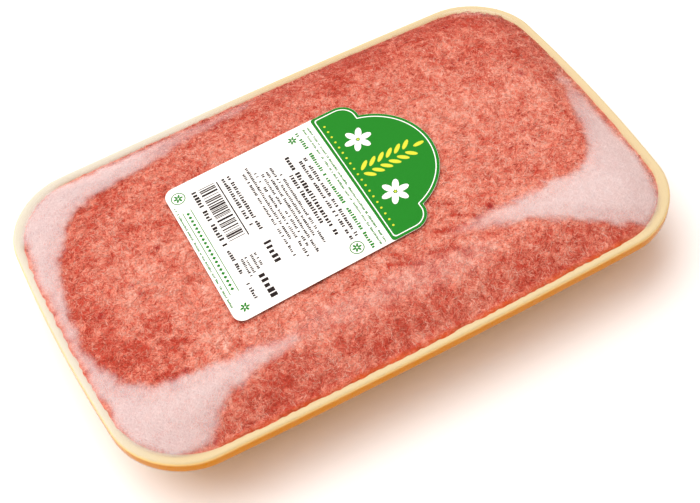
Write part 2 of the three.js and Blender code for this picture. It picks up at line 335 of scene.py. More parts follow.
def near_lines(x, y, lines):
    """1 on listed straight lines and less with distance, as a bell curve whose width is each line's reach."""
    near = np.zeros(x.shape)
    for ax, ay, bx, by, reach in np.array(lines) * MM:
        away = line_distance(x, y, (ax, ay), (bx, by)) / reach
        near = np.maximum(near, np.exp(-away * away))
    return near


def near_places(x, y, places):
    """1 at listed places and less with distance, as lines of no length."""
    return near_lines(x, y, [(place_x, place_y) * 2 + (reach,) for place_x, place_y, reach in places])


# The pack's plan and the film over it


def plan_points(u, v, sizes):
    """Unit square to plan: corner squares become quarter discs, and the sides bulge as parabolas."""
    flat_x, flat_y = sizes.length / 2 - sizes.end_bulge, sizes.width / 2 - sizes.side_bulge
    corner = sizes.corner
    p = np.maximum(np.abs(u) * flat_x - flat_x + corner, 0) / corner
    q = np.maximum(np.abs(v) * flat_y - flat_y + corner, 0) / corner
    x = u * flat_x - np.sign(u) * corner * p * (1 - np.sqrt(1 - q * q / 2))
    y = v * flat_y - np.sign(v) * corner * q * (1 - np.sqrt(1 - p * p / 2))
    bulge_x = sizes.end_bulge * x / flat_x * (1 - (y / flat_y) ** 2)
    bulge_y = sizes.side_bulge * y / flat_y * (1 - (x / flat_x) ** 2)
    return np.stack([x + bulge_x, y + bulge_y], axis=-1)


def plan_outline(sizes, count):
    """The plan's edge, anticlockwise: the unit square's edge walked evenly and mapped to the plan."""
    stops = np.cumsum([0, sizes.length, sizes.width, sizes.length, sizes.width])
    walk = np.linspace(0, stops[-1], count, endpoint=False)
    u = np.interp(walk, stops, (-1, 1, 1, -1, -1))
    v = np.interp(walk, stops, (-1, -1, 1, 1, -1))
    return plan_points(u, v, sizes)


def drawn_in(points, inset, sizes):
    """Plan points scaled about the middle so that the sides come in by an inset."""
    inset = np.asarray(inset)[..., None]
    return points * (1 - inset / np.array([sizes.length / 2, sizes.width / 2]))


def rings(profile, outline, sizes):
    """A profile of inset and height carried round the outline, as rows of points."""
    plan = drawn_in(outline[None], np.broadcast_to(profile[:, :1], (len(profile), len(outline))), sizes)
    heights = np.broadcast_to(profile[:, 1, None, None], plan.shape[:2] + (1,))
    return np.concatenate([plan, heights], axis=-1)


def rim_distance(x, y, sizes):
    """Distance inwards from the edge of the plan, taken as a rounded rectangle with bulged sides."""
    reach_x = sizes.length / 2 - sizes.end_bulge * (2 * y / sizes.width) ** 2
    reach_y = sizes.width / 2 - sizes.side_bulge * (2 * x / sizes.length) ** 2
    p, q = np.abs(x) - reach_x + sizes.corner, np.abs(y) - reach_y + sizes.corner
    outside = np.hypot(np.maximum(p, 0), np.maximum(q, 0))
    return sizes.corner - outside - np.minimum(np.maximum(p, q), 0)


def film_top(x, y, sizes):
    """Height of the film's outer face: a slope from the lip, rounded off into a plateau with a low crown."""
    slope = sizes.slope * (rim_distance(x, y, sizes) - sizes.start)
    crown = sizes.crown * (1 - (2 * x / sizes.length) ** 2) * (1 - (2 * y / sizes.width) ** 2)
    return sizes.rim + smooth_min(slope, sizes.rise, sizes.bend) + crown


def veil(x, y, seed):
    """How much painted sheen and haze the film carries, from 0 to 1: frayed outlines, whiter further in."""
    fray = 2.2 * MM * (value_noise(x, y, 5 * MM, seed) - 0.5)
    fray += 1.6 * MM * (value_noise(x, y, 1.3 * MM, seed + 1) - 0.5)
    cover = np.zeros(x.shape)
    thinner_back = 1 - 0.55 * smooth_step(-25 * MM, 12 * MM, y)
    patches = (
        (HAZE_SHEEN_LEFT, 1.9 * MM, 0.92 - 0.6 * smooth_step(-66 * MM, -30 * MM, x)),
        (HAZE_SHEEN_RIGHT, 1.9 * MM, smooth_step(16 * MM, 60 * MM, x) * thinner_back),
        (HAZE_SHEEN_STREAK, 4 * MM, 0.11),
    )
    for outline, soft, strength in patches:
        smoothed = cut_corners(np.array(outline) * MM, 1, closed=True)
        away = outline_distance(x, y, smoothed) + fray
        edge = 1 - smooth_step(-soft, soft, away)
        inside = 1 - smooth_step(-4 * soft, -soft, away)
        cover = np.maximum(cover, strength * (0.75 * edge + 0.25 * inside))
    return cover


# Meshes from arrays


def grid_quads(rows, columns, closed):
    """Quads of a grid of rows and columns, numbered row by row; closed joins the last column to the first."""
    r, c = np.meshgrid(np.arange(rows - 1), np.arange(columns if closed else columns - 1), indexing="ij")
    after = (c + 1) % columns
    here, above = r * columns, (r + 1) * columns
    quads = np.stack([here + c, here + after, above + after, above + c], axis=-1)
    return quads.reshape(-1, 4)


def fan(ring, centre, up):
    """Triangles from a centre to a ring that runs anticlockwise from above; up says which way they face."""
    ring = np.asarray(ring)
    after = np.roll(ring, -1)
    middle = np.full(len(ring), centre)
    return np.stack([middle, ring, after] if up else [middle, after, ring], axis=-1)


def new_piece(name, vertices, quads, triangles, material, slot, node):
    """A smooth mesh object at the origin from arrays, riding on the pack and standing for a CAD node."""
    vertices = np.asarray(vertices, dtype=np.float32).reshape(-1, 3)
    quads, triangles = np.asarray(quads, dtype=np.int32), np.asarray(triangles, dtype=np.int32)
    sizes = np.concatenate([np.full(len(quads), 4), np.full(len(triangles), 3)]).astype(np.int32)
    mesh = bpy.data.meshes.new(name)
    mesh.vertices.add(len(vertices))
    mesh.vertices.foreach_set("co", vertices.ravel())
    mesh.loops.add(int(sizes.sum()))
    mesh.loops.foreach_set("vertex_index", np.concatenate([quads.ravel(), triangles.ravel()], dtype=np.int32))
    mesh.polygons.add(len(sizes))
    mesh.polygons.foreach_set("loop_start", (np.cumsum(sizes) - sizes).astype(np.int32))
    mesh.polygons.foreach_set("use_smooth", np.ones(len(sizes), dtype=bool))
    mesh.update(calc_edges=True)
    mesh.set_sharp_from_angle(angle=SHARP_ANGLE)
    mesh.materials.append(material)
    piece = bpy.data.objects.new(name, mesh)
    bpy.context.scene.collection.objects.link(piece)
    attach(piece, "root")
    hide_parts(node)
    return piece


def set_attribute(piece, name, values):
    """A number for each vertex, for the material to read."""
    layer = piece.data.attributes.new(name, "FLOAT", "POINT")
    layer.data.foreach_set("value", np.asarray(values, dtype=np.float32).ravel())


def loft(ring_rows, first_centre, last_centre):
    """Vertices, quads and end fans of a closed body through rows of points, anticlockwise from above."""
    count, columns = ring_rows.shape[:2]
    vertices = np.vstack([ring_rows.reshape(-1, 3), first_centre, last_centre])
    last = (count - 1) * columns
    first_fan = fan(np.arange(columns), count * columns, up=False)
    last_fan = fan(np.arange(last, last + columns), count * columns + 1, up=True)
    return vertices, grid_quads(count, columns, closed=True), np.vstack([first_fan, last_fan])


# Shader maths


class Value:
    """A socket of a material's node tree; sums, products and powers of it add Math nodes."""

    def __init__(self, finish, socket):
        self.finish = finish
        self.socket = socket

    def math(self, operation, a, b):
        return self.finish.add("ShaderNodeMath", {"operation": operation}, {0: a, 1: b})

    def __add__(self, other):
        return self.math("ADD", self, other)

    def __sub__(self, other):
        return self.math("SUBTRACT", self, other)

    def __rsub__(self, other):
        return self.math("SUBTRACT", other, self)

    def __mul__(self, other):
        return self.math("MULTIPLY", self, other)

    def __truediv__(self, other):
        return self.math("DIVIDE", self, other)

    def __pow__(self, other):
        return self.math("POWER", self, other)

    __radd__ = __add__
    __rmul__ = __mul__

    def clamped(self):
        return self.finish.add("ShaderNodeClamp", {}, {"Value": self})


class Finish:
    """One material and the nodes that make it."""

    def __init__(self, name):
        self.material = bpy.data.materials.new(name)
        self.material.use_nodes = True
        self.tree = self.material.node_tree
        self.tree.nodes.clear()

    def add(self, kind, settings, sockets, output=0):
        """A node of a kind: its settings, or a ramp's stops, then its sockets' values or links."""
        node = self.tree.nodes.new(kind)
        for key, setting in settings.items():
            if key == "stops":
                self.set_stops(node.color_ramp, setting)
            else:
                setattr(node, key, setting)
        for key, value in sockets.items():
            if isinstance(value, Value):
                self.tree.links.new(value.socket, node.inputs[key])
            else:
                node.inputs[key].default_value = value
        return Value(self, node.outputs[output]) if len(node.outputs) else None

    @staticmethod
    def set_stops(ramp, stops):
        for _ in range(len(stops) - len(ramp.elements)):
            ramp.elements.new(0.5)
        for element, (position, shade) in zip(ramp.elements, stops):
            element.position = position
            element.color = (*shade, 1)

    def place(self):
        """Object coordinates."""
        return self.add("ShaderNodeTexCoord", {}, {}, "Object")

    def attribute(self, name):
        """A number stored on the piece's vertices."""
        return self.add("ShaderNodeAttribute", {"attribute_name": name}, {}, "Fac")

    def noise(self, scale, detail=2.0):
        """Noise on Object coordinates, from 0 to 1."""
        sockets = {"Vector": self.place(), "Scale": scale, "Detail": detail}
        return self.add("ShaderNodeTexNoise", {}, sockets, "Fac")

    def fibres(self, long, wide, turns):
        """Fine crossing fibres, about 0 to 1: the greatest of noises, each stretched along one turn."""
        most = None
        for turn in turns:
            sockets = {"Vector": self.place(), "Rotation": (0, 0, turn), "Scale": (long, wide, wide)}
            place = self.add("ShaderNodeMapping", {"vector_type": "TEXTURE"}, sockets)
            sockets = {"Vector": place, "Scale": 1, "Detail": 1, "Distortion": 0.7}
            streak = self.add("ShaderNodeTexNoise", {}, sockets)
            most = streak if most is None else streak.math("MAXIMUM", streak, most)
        return ((most - 0.46) * 3.2).clamped()

    def mix(self, factor, first, second):
        """A blend of two colours."""
        blends = {0: factor, 6: first, 7: second}
        opaque = {key: (*v, 1) if isinstance(v, tuple) else v for key, v in blends.items()}
        return self.add("ShaderNodeMix", {"data_type": "RGBA"}, opaque, 2)

    def bump(self, height, distance, strength=1.0):
        """A normal that follows a height given in metres per unit."""
        sockets = {"Height": height, "Distance": distance, "Strength": strength}
        return self.add("ShaderNodeBump", {}, sockets)

    def surface(self, **sockets):
        """A Principled shader; words of a socket's name are joined by underscores."""
        named = {key.replace("_", " "): value for key, value in sockets.items()}
        return self.add("ShaderNodeBsdfPrincipled", {}, named)

    def mix_shader(self, factor, first, second):
        return self.add("ShaderNodeMixShader", {}, {0: factor, 1: first, 2: second})

    def done(self, shader):
        """Links the shader to the output and gives the material."""
        self.add("ShaderNodeOutputMaterial", {}, {"Surface": shader})
        return self.material


# Tray


def tray_profile(sizes):
    """Inset and height round the tray's section: under the base, up the wall, over the lip and in."""
    rim = sizes.rim / MM
    corners = (
        (44, 1.8), (41, 0.2), (28, 0.2), (26, 0.9), (25, 2.6), (6, rim - 7.6), (4.6, rim - 6.4),
        (1.2, rim - 6), (0.25, rim - 5.3), (0.15, rim - 3), (0.15, rim - 1), (0.5, rim - 0.3),
        (1.3, rim - 0.15), (2.4, rim - 0.3), (3.5, rim - 0.8), (4.2, rim - 2.2), (25, 7.6), (27.2, 5.5),
        (31, 4.6),
    )
    return cut_corners(np.array(corners) * MM, 3)


def foam_finish(look):
    """Cream foam with fine cells: a painted highlight of paler cream at the back left, painted shade from gold
    to ochre down the lip, strongest at the front, and plain colour on the walls.
    """
    foam = Finish("Foam")
    x, y = (foam.add("ShaderNodeSeparateXYZ", {}, {"Vector": foam.place()}, axis) for axis in "XY")
    mottle = foam.noise(260, 3)
    depth = foam.attribute("depth")
    # Painted shade down the lip's turn, by depth below its top, with a little mottling.
    drop = ((depth - look.shade_start) / look.shade_depth + 0.25 * (mottle - 0.5)).clamped()
    under = ((depth - look.wall_start) / look.wall_depth).clamped()
    # Mask of the painted highlight at the back left.
    back_left = ((0.8 * y - x - 45 * MM) / (40 * MM)).clamped()
    # The painted shade's ochre is strongest at the front.
    front = ((25 * MM - y) / (70 * MM)).clamped()
    cells = foam.add(
        "ShaderNodeTexVoronoi", {"feature": "SMOOTH_F1"},
        {"Vector": foam.place(), "Scale": 1400, "Smoothness": 0.6}, "Distance",
    )
    top = foam.mix(back_left, tuple(look.cream), tuple(look.highlight_cream))
    turning = foam.mix((drop * 3).clamped(), top, tuple(look.gold))
    shaded = ((drop - 0.3) * 1.6).clamped() * (0.25 + 0.75 * front)
    lip = foam.mix(shaded, turning, tuple(look.ochre))
    shade = foam.mix(under, lip, tuple(look.wall))
    return foam.done(
        foam.surface(
            Base_Color=shade,
            Roughness=0.5 + 0.2 * mottle,
            Specular_IOR_Level=0.02,
            Normal=foam.bump(cells, 0.00006),
        )
    )


class MEATPACK_OT_tray(bpy.types.Operator):
    """Lofts the foam tray round the plan"""

    bl_idname = "meat_pack.tray"
    bl_label = "Tray"

    def execute(self, context):
        pack = context.scene.meat_pack
        profile = tray_profile(pack.sizes)
        rows = rings(profile, plan_outline(pack.sizes, 420), pack.sizes)
        body = loft(rows, (0, 0, profile[0, 1]), (0, 0, profile[-1, 1]))
        piece = new_piece("foam_tray", *body, foam_finish(pack.tray), "foam", "tray")
        # Depth below the lip's top picks the painted shade down the lip; on the inner side it counts for less.
        depth = pack.sizes.rim - body[0][:, 2]
        inside = np.arange(len(depth)) > depth.argmin()
        set_attribute(piece, "depth", depth * np.where(inside, 0.3, 1))
        return {"FINISHED"}


# Mince


class Meat:
    """The mince's fields over the plan: fibres, tone with painted shade, and the height of its top."""

    STEP = 0.3 * MM
    REACH = 6

    def __init__(self, pack):
        self.sizes = pack.sizes
        self.look = pack.mince
        self.sheen_seed = pack.mince.seed + SHEEN_SEED
        self.fibres = self.fibre_raster()

    def angle(self, x, y):
        """Direction of the fibres: two scales of noise, as turns."""
        seed = self.look.seed
        turns = 1.4 * value_noise(x, y, 8 * MM, seed) + 0.7 * value_noise(x, y, 2.6 * MM, seed + 1)
        return 2 * np.pi * turns

    def fibre_raster(self):
        """White noise averaged both ways along the winding direction field, stretched to run from 0 to 1."""
        x = np.arange(-self.sizes.length / 2, self.sizes.length / 2, self.STEP)
        y = np.arange(-self.sizes.width / 2, self.sizes.width / 2, self.STEP)
        angle = self.angle(*np.meshgrid(x, y, indexing="ij"))
        step_x, step_y = np.cos(angle), np.sin(angle)
        noise = np.random.default_rng(self.look.seed + 2).random(angle.shape)
        total = noise.copy()
        for way in (1, -1):
            i, j = np.meshgrid(np.arange(len(x)), np.arange(len(y)), indexing="ij")
            i, j = i.astype(float), j.astype(float)
            for _ in range(self.REACH):
                cell = np.rint(i).astype(int) % len(x), np.rint(j).astype(int) % len(y)
                i, j = i + way * step_x[cell], j + way * step_y[cell]
                total += noise[np.rint(i).astype(int) % len(x), np.rint(j).astype(int) % len(y)]
        spread = (total - total.mean()) / total.std()
        return np.clip(0.5 + spread / 4, 0, 1)

    def fibre(self, x, y):
        """The fibre raster between its points, linear both ways."""
        wide, deep = self.fibres.shape
        u = np.clip((x + self.sizes.length / 2) / self.STEP, 0, wide - 1.001)
        v = np.clip((y + self.sizes.width / 2) / self.STEP, 0, deep - 1.001)
        i, j = u.astype(int), v.astype(int)
        s, t = u - i, v - j
        near = self.fibres[i, j] * (1 - s) + self.fibres[i + 1, j] * s
        far = self.fibres[i, j + 1] * (1 - s) + self.fibres[i + 1, j + 1] * s
        return near * (1 - t) + far * t

    def dents(self, x, y):
        """Depth below the film from 0 to 1: hollows, smaller pits, cracks and gaps between fibres."""
        seed = self.look.seed + 10
        hollows = smooth_step(0.5, 0.95, value_noise(x, y, 9 * MM, seed))
        pits = smooth_step(0.5, 1, value_noise(x, y, 2.6 * MM, seed + 1))
        gaps = 1 - self.fibre(x, y)
        return 0.3 * hollows + 0.3 * pits + 0.4 * gaps + 0.4 * near_lines(x, y, CRACKS)

    def spots(self, x, y):
        """Small blood spots: listed places, and the peaks of fine noise where broad noise is high."""
        seed = self.look.seed + 20
        peaks = smooth_step(0.9, 0.96, value_noise(x, y, 1.6 * MM, seed))
        peaks *= smooth_step(0.66, 0.78, value_noise(x, y, 13 * MM, seed + 1))
        return np.maximum(peaks, 0.9 * near_places(x, y, SPOTS))

    def tone(self, x, y):
        """Leanness from 0, pale, to 1, deep red: three noises, blotches and cracks painted deeper as shade,
        deeper slopes and a paler plateau as painted shade, and paler under the film's painted sheen and haze.
        """
        seed = self.look.seed + 30
        broad = value_noise(x, y, 26 * MM, seed)
        blotch = value_noise(x, y, 6 * MM, seed + 1)
        fine = value_noise(x, y, 1.9 * MM, seed + 2)
        lean = 0.54 + 0.15 * (broad - 0.5) + 0.26 * (blotch - 0.5) + 0.42 * (fine - 0.5)
        # Painted shade: deeper on the slopes by the lip, paler on the plateau.
        lean -= 0.2 * smooth_step(12 * MM, 26 * MM, rim_distance(x, y, self.sizes))
        # Blotches go deeper, and the cracks are painted deeper as shade in them.
        lean += (0.2 + 0.5 * fine) * near_places(x, y, BLOTCHES) + 0.45 * near_lines(x, y, CRACKS)
        lean += 0.13 * smooth_step(15 * MM, 55 * MM, y)
        # Paler under the film's painted sheen and haze.
        return np.clip(lean - 0.32 * veil(x, y, self.sheen_seed), 0, 1)

    def wet(self, x, y):
        """Juice along the lip, from 0 to 1: in patches, fading inwards, and strongest along the front."""
        inwards = rim_distance(x, y, self.sizes) - self.look.edge
        front = (1 - smooth_step(-66 * MM, -54 * MM, y)) * smooth_step(-88 * MM, -76 * MM, x)
        patches = 0.5 + 0.5 * smooth_step(0.3, 0.7, value_noise(x, y, 7 * MM, self.look.seed + 40))
        return (0.12 + 0.88 * front) * patches * (1 - smooth_step(0.4 * MM, 2.4 * MM, inwards))

    def top(self, x, y):
        """Height of the core: the film less the clearance, the dents and the gap under the film's painted
        sheen and haze.
        """
        inwards = smooth_step(2 * MM, 6 * MM, rim_distance(x, y, self.sizes))
        below = self.look.clearance + self.look.depth * self.dents(x, y)
        gap = self.look.air_gap * veil(x, y, self.sheen_seed)
        return film_top(x, y, self.sizes) - 0.2 * MM - inwards * (below - 0.2 * MM + gap)


def meat_finish(look):
    """Pink meat: tone with painted shade picks the colour, gaps between fibres go deeper as painted shade on
    the fibre pattern, juice by the lip, blood in spots.
    """
    meat = Finish("Meat")
    tone = meat.attribute("tone")
    fibre = meat.fibres(1.8 * MM, 0.3 * MM, (0.3, 1.0, 1.9, 2.6))
    grain = meat.noise(1800, 3)
    # The fibre pattern in colour, with its gaps painted deeper as shade.
    lean = (tone + 0.62 * (0.5 - fibre) + 0.45 * (grain - 0.5)).clamped()
    stops = [(0.06, tuple(look.pale)), (0.45, tuple(look.pink)), (0.95, tuple(look.deep))]
    flesh = meat.add("ShaderNodeValToRGB", {"stops": stops}, {"Fac": lean}, "Color")
    soaked = (meat.attribute("wet") * (1.3 - 0.8 * fibre)).clamped()
    wet = meat.mix(soaked, flesh, tuple(look.juice))
    spotted = meat.mix(meat.attribute("spot"), wet, tuple(look.blood))
    return meat.done(
        meat.surface(
            Base_Color=spotted,
            Roughness=0.34 + 0.2 * grain,
            Specular_IOR_Level=0.3,
            Normal=meat.bump(fibre, 0.0003, 0.8),
        )
    )


def mince_core(pack, meat):
    """The core: a grid over the plan with a ragged edge, at the meat's top, and rings down the inside."""
    sizes = pack.sizes
    across, deep = 384, 240
    u, v = np.meshgrid(np.linspace(-1, 1, across), np.linspace(-1, 1, deep))
    plan = plan_points(u, v, sizes)
    ragged = value_noise(plan[..., 0], plan[..., 1], 4.2 * MM, pack.mince.seed + 80) * 1.3 * MM
    ragged += value_noise(plan[..., 0], plan[..., 1], 1.9 * MM, pack.mince.seed + 81) * 1.1 * MM
    corners = smooth_step(0.5, 1, np.abs(u * v)) * 1.2 * MM
    top = drawn_in(plan, pack.mince.edge + ragged + corners, sizes) + np.array(pack.mince.offset)
    x, y = top[..., 0], top[..., 1]
    inwards = np.minimum((1 - np.abs(u)) * sizes.length, (1 - np.abs(v)) * sizes.width) / 2
    height = meat.top(x, y) - 0.4 * MM * (1 - smooth_step(0, 1.3 * MM, inwards))
    vertices = np.concatenate([top, height[..., None]], axis=-1).reshape(-1, 3)
    index = np.arange(across * deep).reshape(deep, across)
    edge = np.concatenate([index[0, :-1], index[:-1, -1], index[-1, :0:-1], index[:0:-1, 0]])
    rim = sizes.rim / MM
    wall = np.array(((2.6, rim - 1.4), (3.6, rim - 2.8), (24.7, 7.3), (27, 5.2), (31, 4.3))) * MM
    skirt = rings(wall, plan.reshape(-1, 2)[edge], sizes)
    start = len(vertices)
    below = start + np.arange(skirt.shape[0] * len(edge)).reshape(skirt.shape[0], len(edge))
    rows = np.vstack([edge[None], below])
    after = np.roll(rows, -1, axis=1)
    sides = np.stack([rows[:-1], rows[1:], after[1:], after[:-1]], axis=-1).reshape(-1, 4)
    vertices = np.vstack([vertices, skirt.reshape(-1, 3), (0, 0, wall[-1, 1])])
    quads = np.vstack([grid_quads(deep, across, closed=False), sides])
    return vertices, quads, fan(below[-1], len(vertices) - 1, up=False)


def strand_paths(count, seed, meat):
    """Middle lines of strands: short arcs at seeded places, turned near the fibres' direction."""
    sizes, look = meat.sizes, meat.look
    draw = np.random.default_rng(seed)
    x = (draw.random(3 * count) - 0.5) * sizes.length
    y = (draw.random(3 * count) - 0.5) * sizes.width
    corner = smooth_step(0.5, 1, np.abs(4 * x * y) / (sizes.length * sizes.width))
    kept = np.flatnonzero(rim_distance(x, y, sizes) > (4.7 + 1.4 * corner) * MM)[:count]
    x, y = x[kept], y[kept]
    heading = meat.angle(x, y) + draw.normal(0, 0.9, len(kept))
    long = look.strand_length * draw.uniform(0.55, 1.5, len(kept))
    bend = draw.normal(0, 0.09, len(kept))
    s = np.linspace(-1, 1, 4)[None]
    ahead, aside = 0.5 * long[:, None] * s, (long * bend)[:, None] * (s * s - 0.4)
    cos, sin = np.cos(heading)[:, None], np.sin(heading)[:, None]
    px, py = x[:, None] + ahead * cos - aside * sin, y[:, None] + ahead * sin + aside * cos
    slope_angle = heading[:, None] + np.arctan2(4 * bend[:, None] * s, 1)
    radius = look.strand_radius * draw.uniform(0.6, 1.25, len(kept))
    girth = radius[:, None] * np.sqrt(1 - (0.9 * s) ** 2)
    return px, py, slope_angle, girth


def strand_meshes(count, seed, meat):
    """Strands as flattened tubes of three sides round their paths, sunk into the core at both ends."""
    px, py, heading, girth = strand_paths(count, seed, meat)
    total, stations = px.shape
    sides = 3
    s = np.linspace(-1, 1, stations)[None]
    lift = 0.25 * girth.max(axis=1, keepdims=True) * (1 - 1.6 * s ** 4)
    pz = meat.top(px, py) + lift
    turn = 2 * np.pi * np.arange(sides) / sides + np.pi / 2
    out = girth[..., None] * np.cos(turn)
    vertices = np.stack(
        [
            px[..., None] - np.sin(heading)[..., None] * out,
            py[..., None] + np.cos(heading)[..., None] * out,
            pz[..., None] + 0.8 * girth[..., None] * np.sin(turn),
        ],
        axis=-1,
    )
    per = stations * sides
    base = (np.arange(total) * per)[:, None, None]
    quads = (base + grid_quads(stations, sides, closed=True)[None]).reshape(-1, 4)
    cap = np.array([[0, 2, 1]])
    caps = np.vstack([cap, cap[:, ::-1] + per - sides])
    triangles = (base + caps[None]).reshape(-1, 3)
    return vertices, quads, triangles


def colour_meat(piece, meat, x, y, tone, repeats=1):
    """Stores tone with painted shade, spots and juice on a piece, each value repeated for the vertices that
    share it.
    """
    fields = {"tone": np.clip(tone, 0, 1), "spot": meat.spots(x, y), "wet": meat.wet(x, y)}
    for name, values in fields.items():
        set_attribute(piece, name, np.repeat(values, repeats))


class MEATPACK_OT_mince(bpy.types.Operator):
    """Makes the mince's core and the pieces of strands on it"""

    bl_idname = "meat_pack.mince"
    bl_label = "Mince"

    def execute(self, context):
        pack = context.scene.meat_pack
        meat = Meat(pack)
        flesh = meat_finish(pack.mince)
        core = mince_core(pack, meat)
        x, y = core[0][:, 0], core[0][:, 1]
        piece = new_piece("mince_core", *core, flesh, "meat", "mince")
        # The core shows between the strands, painted deeper as shade in the gaps.
        colour_meat(piece, meat, x, y, meat.tone(x, y) + 0.2 + 0.5 * (0.5 - meat.fibre(x, y)))
        kinds = (("fat", -0.38), ("pale", -0.16), ("pink", 0.0), ("lean", 0.14), ("red", 0.3))
        for kind, (name, shift) in enumerate(kinds):
            draw = np.random.default_rng(pack.mince.seed + 70 + kind)
            body = strand_meshes(pack.mince.strands, pack.mince.seed + 60 + kind, meat)
            total, per = body[0].shape[0], body[0][0, ..., 0].size
            piece = new_piece(f"mince_strands_{name}", *body, flesh, "meat", "mince")
            x, y = body[0][..., 0].mean(axis=(1, 2)), body[0][..., 1].mean(axis=(1, 2))
            colour_meat(piece, meat, x, y, meat.tone(x, y) + shift + draw.normal(0, 0.06, total), per)
        return {"FINISHED"}


# Film


def film_finish(look):
    """Clear film: gloss by facing angle over see-through, and a painted reflection of the lights as a milky
    cover where it is off the meat.
    """
    film = Finish("Film")
    facing = film.add("ShaderNodeLayerWeight", {}, {"Blend": 0.5}, "Facing")
    gloss = 0.005 + 0.5 * facing ** 5
    clear = film.mix_shader(
        gloss,
        film.add("ShaderNodeBsdfTransparent", {}, {}),
        film.add("ShaderNodeBsdfGlossy", {}, {"Roughness": 0.12}),
    )
    wisps = film.fibres(2.2 * MM, 0.4 * MM, (0.5, 1.3, 2.2))
    # Painted reflection: a milky surface mixed in by the sheen and haze mask.
    milky = film.surface(Base_Color=(*look.tint, 1), Roughness=0.4, Specular_IOR_Level=0.5)
    clouds = film.noise(260, 2)
    cover = look.sheen_cover * film.attribute("veil") * (0.76 + 0.5 * wisps) * (0.86 + 0.28 * clouds)
    return film.done(film.mix_shader(cover, clear, milky))


def clear_by_lip(x, y, pack):
    """0 by the meat's edge and 1 further in, from a wavy distance to the rim moved over as the meat is."""
    aside, ahead = pack.mince.offset
    inwards = rim_distance(x - 2 * aside, y - 2 * ahead, pack.sizes)
    wave = 2.4 * MM * (value_noise(x, y, 3.6 * MM, pack.mince.seed + SHEEN_SEED + 5) - 0.5)
    return smooth_step(4 * MM, 8.4 * MM, inwards + wave)


def film_profile(sizes):
    """Inset and height up the film's outer face: from under the base, up the side and round the lip."""
    rim = sizes.rim / MM
    corners = (
        (50, 0), (27, 0), (25, 0.5), (23.6, 1.9), (1.2, rim - 7), (0, rim - 5.4), (0, rim - 1),
        (0.35, rim - 0.3), (1, rim), (2.1, rim),
    )
    return cut_corners(np.array(corners) * MM, 3)


def film_face(pack, outline, inward):
    """One face of the film: its profile round the plan, then rings over the meat, moved in along normals."""
    sizes = pack.sizes
    profile = film_profile(sizes)
    tangent = np.gradient(profile, axis=0)
    tangent /= np.linalg.norm(tangent, axis=1, keepdims=True)
    skirt = rings(profile + inward * np.stack([tangent[:, 1], -tangent[:, 0]], axis=1), outline, sizes)
    insets = np.concatenate([np.arange(3, 34, 1.1), np.arange(34, 66, 3)]) * MM
    dome = rings(np.stack([insets, insets * 0], axis=1), outline, sizes)
    dome[..., 2] = film_top(dome[..., 0], dome[..., 1], sizes) - inward
    return np.concatenate([skirt, dome])


class MEATPACK_OT_film(bpy.types.Operator):
    """Wraps the tray and the mince in thin film"""

    bl_idname = "meat_pack.film"
    bl_label = "Film"

    def execute(self, context):
        pack = context.scene.meat_pack
        outline = plan_outline(pack.sizes, 440)
        outer, inner = film_face(pack, outline, 0.0), film_face(pack, outline, pack.film.gauge)
        crown = pack.sizes.rim + pack.sizes.rise + pack.sizes.crown
        rows = np.concatenate([inner[::-1], outer])
        body = loft(rows, (0, 0, crown - pack.film.gauge), (0, 0, crown))
        piece = new_piece("film_wrap", *body, film_finish(pack.film), "film", "film")
        x, y, z = body[0].T
        # The painted sheen and haze lie only over the meat, away from its edge.
        over_meat = clear_by_lip(x, y, pack) * (z > pack.sizes.rim)
        set_attribute(piece, "veil", over_meat * veil(x, y, pack.mince.seed + SHEEN_SEED))
        return {"FINISHED"}


# Label


def arc(centre, radius, start, end, count):
    """Points along a circle from one angle to another."""
    angle = np.linspace(start, end, count)
    return np.stack([centre[0] + radius * np.cos(angle), centre[1] + radius * np.sin(angle)], axis=1)


def label_outline(look, inset=0.0, foot=0.0):
    """The die-cut edge: round corners at the foot, round shoulders and a round head, drawn in by an inset."""
    half = look.width / 2 - inset
    rise = look.length - look.shoulder
    head = (look.head_half ** 2 + rise ** 2) / (2 * rise)
    middle = look.length - head
    head -= inset
    shoulder = look.shoulder_radius - inset
    shoulder_at = look.shoulder - look.shoulder_radius
    bottom = foot + inset
    corner = max(look.foot_radius - inset, 0.5 * MM) if foot == 0 else 1.2 * MM
    notch = look.shoulder - inset
    swing = math.acos(min((notch - middle) / head, 1))
    quarter = math.pi / 2
    return np.vstack(
        [
            arc((bottom + corner, corner - half), corner, -2 * quarter, -quarter, 12),
            arc((shoulder_at, shoulder - half), shoulder, -quarter, 0, 20),
            arc((middle, 0), head, -swing, swing, 90),
            arc((shoulder_at, half - shoulder), shoulder, 0, quarter, 20),
            arc((bottom + corner, half - corner), corner, quarter, 2 * quarter, 12),
        ]
    )


def even_walk(corners, count):
    """A closed outline walked in even steps: positions along its length, linear between its corners."""
    loop = np.vstack([corners, corners[:1]])
    walked = np.concatenate([[0], np.cumsum(np.linalg.norm(np.diff(loop, axis=0), axis=1))])
    stops = np.linspace(0, walked[-1], count, endpoint=False)
    return np.stack([np.interp(stops, walked, loop[:, k]) for k in range(2)], axis=1)


def on_label(points, lift, pack):
    """Label coordinates, along from the foot and across from the middle, leant, turned and on the film."""
    look = pack.label
    across = points[..., 1]
    along = points[..., 0] - look.length / 2 + look.lean * across
    cos, sin = math.cos(look.turn), math.sin(look.turn)
    x = look.centre[0] + along * cos - across * sin
    y = look.centre[1] + along * sin + across * cos
    return np.stack([x, y, film_top(x, y, pack.sizes) + lift], axis=-1)


